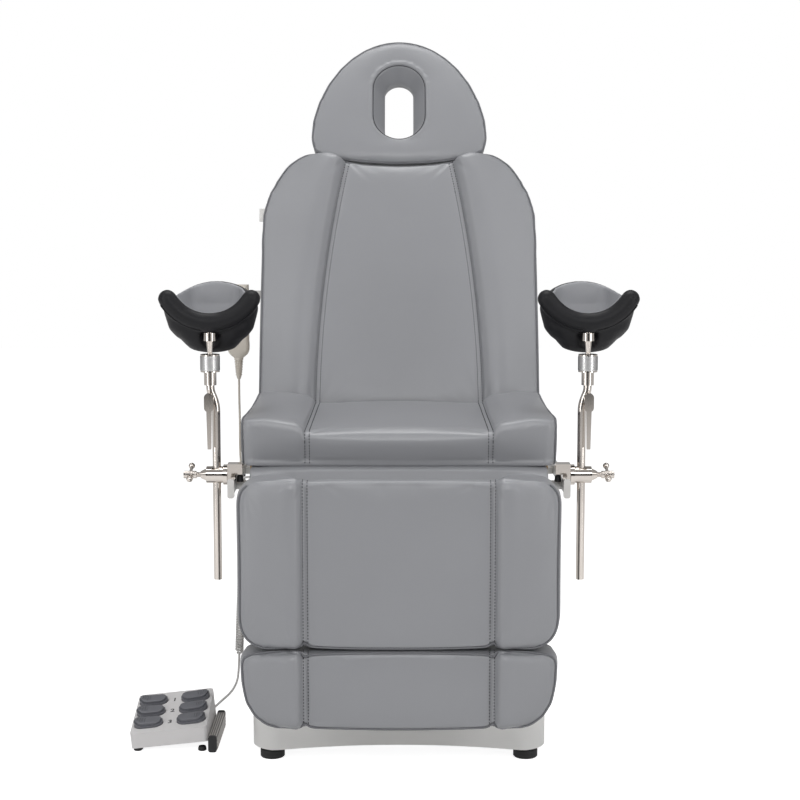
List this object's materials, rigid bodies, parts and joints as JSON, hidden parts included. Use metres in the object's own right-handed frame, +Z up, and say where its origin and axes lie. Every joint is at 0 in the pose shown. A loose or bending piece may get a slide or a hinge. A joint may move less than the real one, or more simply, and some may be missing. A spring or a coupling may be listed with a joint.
{
  "type": "gynecological chair",
  "caption": "Powered examination chair with padded seat, reclining back, headrest with face hole, raising leg rest, knee cradles on rail clamps, handset and footswitch.",
  "frame": {"origin": "on the floor, midway between the four feet", "axes": "+X to the right of a viewer facing the chair, +Y from the foot end to the head end, +Z up"},
  "size_m": [1.0009, 0.9901, 1.45],
  "materials": {
    "upholstery": "satin grey vegan leather",
    "white_cover": "satin white moulded cover",
    "grey_paint": "grey powder coat",
    "white_paint": "white powder coat",
    "steel": "brushed",
    "chrome": "polished",
    "black_rubber": "matte",
    "black_pu": "satin self-skin foam",
    "black_plastic": "matte",
    "white_plastic": "matte",
    "cream_plastic": "matte",
    "light_grey_plastic": "matte",
    "aluminium": "anodised",
    "plywood": "raw birch",
    "grey_cord": "matte"
  },
  "bodies": {
    "base": {"base_cover": "white_cover", "base_frame": "grey_paint", "levelling_feet": "black_rubber", "column_outer": "white_paint", "lift_drive": "black_plastic", "mains_inlet": "black_plastic", "footswitch_housing": "light_grey_plastic", "footswitch_base": "black_plastic", "footswitch_bar": "aluminium", "footswitch_gland": "black_plastic", "footswitch_cord": "grey_cord"},
    "column_middle": {"column_middle": "white_paint"},
    "seat": {"column_inner": "white_paint", "lift_spindle": "steel", "seat_frame": "white_paint", "seat_board": "plywood", "seat_cushion": "upholstery", "front_bolster": "upholstery", "side_rails": "steel", "rail_end_caps": "white_plastic", "back_actuator": "light_grey_plastic", "leg_actuator": "light_grey_plastic", "hinge_pins": "steel", "control_box": "black_plastic", "handset_cord": "grey_cord", "footswitch_coil": "grey_cord"},
    "back_rod": {"back_actuator_rod": "steel"},
    "leg_rod": {"leg_actuator_rod": "steel"},
    "backrest": {"backrest_frame": "white_paint", "backrest_board": "plywood", "backrest_cushion": "upholstery", "handset_hook": "white_paint", "handset": "cream_plastic"},
    "headrest_slide": {"headrest_bracket": "chrome"},
    "headrest": {"headrest_board": "plywood", "headrest_cushion": "upholstery"},
    "legrest": {"legrest_frame": "white_paint", "legrest_cushion": "upholstery"},
    "footrest": {"footrest_slides": "white_paint", "footrest_cushion": "upholstery"},
    "left_clamp": {"left_rail_clamp": "steel"},
    "left_barrel": {"left_clamp_barrel": "chrome"},
    "left_screw": {"left_clamp_screw": "chrome"},
    "left_rod": {"left_stirrup_rod": "chrome"},
    "left_lever": {"left_clamp_lever": "chrome"},
    "left_stud": {"left_ball_stud": "chrome"},
    "left_cradle": {"left_knee_cradle": "black_pu"},
    "right_clamp": {"right_rail_clamp": "steel"},
    "right_barrel": {"right_clamp_barrel": "chrome"},
    "right_screw": {"right_clamp_screw": "chrome"},
    "right_rod": {"right_stirrup_rod": "chrome"},
    "right_lever": {"right_clamp_lever": "chrome"},
    "right_stud": {"right_ball_stud": "chrome"},
    "right_cradle": {"right_knee_cradle": "black_pu"},
    "pedal_left_3_body": {"pedal_left_3": "black_plastic"},
    "pedal_left_2_body": {"pedal_left_2": "black_plastic"},
    "pedal_left_1_body": {"pedal_left_1": "black_plastic"},
    "pedal_right_3_body": {"pedal_right_3": "black_plastic"},
    "pedal_right_2_body": {"pedal_right_2": "black_plastic"},
    "pedal_right_1_body": {"pedal_right_1": "black_plastic"}
  },
  "joints": [
    {"name": "lift", "type": "slide", "parent": "base", "child": "seat", "axis": [0, 0, 1], "range_m": [0, 0.25], "deforming": ["footswitch_coil"]},
    {"name": "column_middle_slide", "type": "slide", "parent": "base", "child": "column_middle", "axis": [0, 0, 1], "range_m": [0, 0.125]},
    {"name": "back_recline", "type": "hinge", "parent": "seat", "child": "backrest", "pos_m": [0, 0.115, 0.6], "axis": [-1, 0, 0], "range_deg": [0, 68], "deforming": ["handset_cord"]},
    {"name": "back_rod_slide", "type": "slide", "parent": "seat", "child": "back_rod", "axis": [0, -1, 0], "range_m": [0, 0.1015]},
    {"name": "leg_raise", "type": "hinge", "parent": "seat", "child": "legrest", "pos_m": [0, -0.42, 0.555], "axis": [-1, 0, 0], "range_deg": [0, 80]},
    {"name": "leg_rod_slide", "type": "slide", "parent": "seat", "child": "leg_rod", "axis": [0, -1, 0], "range_m": [0, 0.0972]},
    {"name": "headrest_extend", "type": "slide", "parent": "backrest", "child": "headrest_slide", "axis": [0, 0.3746, 0.9272], "range_m": [0, 0.08]},
    {"name": "headrest_tilt", "type": "hinge", "parent": "headrest_slide", "child": "headrest", "pos_m": [0, 0.39647, 1.17654], "axis": [-1, 0, 0], "range_deg": [0, 35]},
    {"name": "footrest_extend", "type": "slide", "parent": "legrest", "child": "footrest", "axis": [0, 0, -1], "range_m": [0, 0.09]},
    {"name": "left_rail_slide", "type": "slide", "parent": "seat", "child": "left_clamp", "axis": [0, 1, 0], "range_m": [0, 0.2]},
    {"name": "left_clamp_swing", "type": "hinge", "parent": "left_clamp", "child": "left_barrel", "pos_m": [-0.3535, -0.32, 0.5595], "axis": [1, 0, 0], "range_deg": [-30, 30]},
    {"name": "left_screw_turn", "type": "hinge", "parent": "left_barrel", "child": "left_screw", "pos_m": [-0.3845, -0.32, 0.5595], "axis": [1, 0, 0], "range_deg": [-180, 180]},
    {"name": "left_rod_slide", "type": "slide", "parent": "left_barrel", "child": "left_rod", "axis": [0, 0, 1], "range_m": [-0.03, 0.15]},
    {"name": "left_lever_turn", "type": "hinge", "parent": "left_rod", "child": "left_lever", "pos_m": [-0.365, -0.338, 0.7025], "axis": [0, 1, 0], "range_deg": [0, 60]},
    {"name": "left_ball_tilt", "type": "hinge", "parent": "left_rod", "child": "left_stud", "pos_m": [-0.364, -0.32, 0.778], "axis": [1, 0, 0], "range_deg": [-15, 15]},
    {"name": "left_cradle_swivel", "type": "hinge", "parent": "left_stud", "child": "left_cradle", "pos_m": [-0.364, -0.32, 0.845], "axis": [0, 0, 1], "range_deg": [-45, 45]},
    {"name": "right_rail_slide", "type": "slide", "parent": "seat", "child": "right_clamp", "axis": [0, 1, 0], "range_m": [0, 0.2]},
    {"name": "right_clamp_swing", "type": "hinge", "parent": "right_clamp", "child": "right_barrel", "pos_m": [0.3535, -0.32, 0.5595], "axis": [1, 0, 0], "range_deg": [-30, 30]},
    {"name": "right_screw_turn", "type": "hinge", "parent": "right_barrel", "child": "right_screw", "pos_m": [0.3845, -0.32, 0.5595], "axis": [1, 0, 0], "range_deg": [-180, 180]},
    {"name": "right_rod_slide", "type": "slide", "parent": "right_barrel", "child": "right_rod", "axis": [0, 0, 1], "range_m": [-0.03, 0.15]},
    {"name": "right_lever_turn", "type": "hinge", "parent": "right_rod", "child": "right_lever", "pos_m": [0.365, -0.338, 0.7025], "axis": [0, -1, 0], "range_deg": [0, 60]},
    {"name": "right_ball_tilt", "type": "hinge", "parent": "right_rod", "child": "right_stud", "pos_m": [0.364, -0.32, 0.778], "axis": [1, 0, 0], "range_deg": [-15, 15]},
    {"name": "right_cradle_swivel", "type": "hinge", "parent": "right_stud", "child": "right_cradle", "pos_m": [0.364, -0.32, 0.845], "axis": [0, 0, 1], "range_deg": [-45, 45]},
    {"name": "pedal_left_3_press", "type": "hinge", "parent": "base", "child": "pedal_left_3_body", "pos_m": [-0.50142, -0.25217, 0.03933], "axis": [0.9945, 0, 0.1045], "range_deg": [0, 4], "stiffness_Nm_per_rad": 1, "springref_deg": -2.86},
    {"name": "pedal_left_2_press", "type": "hinge", "parent": "base", "child": "pedal_left_2_body", "pos_m": [-0.50236, -0.20605, 0.04828], "axis": [0.9945, 0, 0.1045], "range_deg": [0, 4], "stiffness_Nm_per_rad": 1, "springref_deg": -2.86},
    {"name": "pedal_left_1_press", "type": "hinge", "parent": "base", "child": "pedal_left_1_body", "pos_m": [-0.5033, -0.15992, 0.05723], "axis": [0.9945, 0, 0.1045], "range_deg": [0, 4], "stiffness_Nm_per_rad": 1, "springref_deg": -2.86},
    {"name": "pedal_right_3_press", "type": "hinge", "parent": "base", "child": "pedal_right_3_body", "pos_m": [-0.41589, -0.25217, 0.04832], "axis": [0.9945, 0, 0.1045], "range_deg": [0, 4], "stiffness_Nm_per_rad": 1, "springref_deg": -2.86},
    {"name": "pedal_right_2_press", "type": "hinge", "parent": "base", "child": "pedal_right_2_body", "pos_m": [-0.41683, -0.20605, 0.05727], "axis": [0.9945, 0, 0.1045], "range_deg": [0, 4], "stiffness_Nm_per_rad": 1, "springref_deg": -2.86},
    {"name": "pedal_right_1_press", "type": "hinge", "parent": "base", "child": "pedal_right_1_body", "pos_m": [-0.41777, -0.15992, 0.06622], "axis": [0.9945, 0, 0.1045], "range_deg": [0, 4], "stiffness_Nm_per_rad": 1, "springref_deg": -2.86}
  ],
  "couplings": [
    {"joint": "column_middle_slide", "follows": "lift", "ratio": 0.5},
    {"joint": "back_rod_slide", "follows": "back_recline", "m_per_rad": 0.08481},
    {"joint": "leg_rod_slide", "follows": "leg_raise", "m_per_rad": 0.069054}
  ]
}
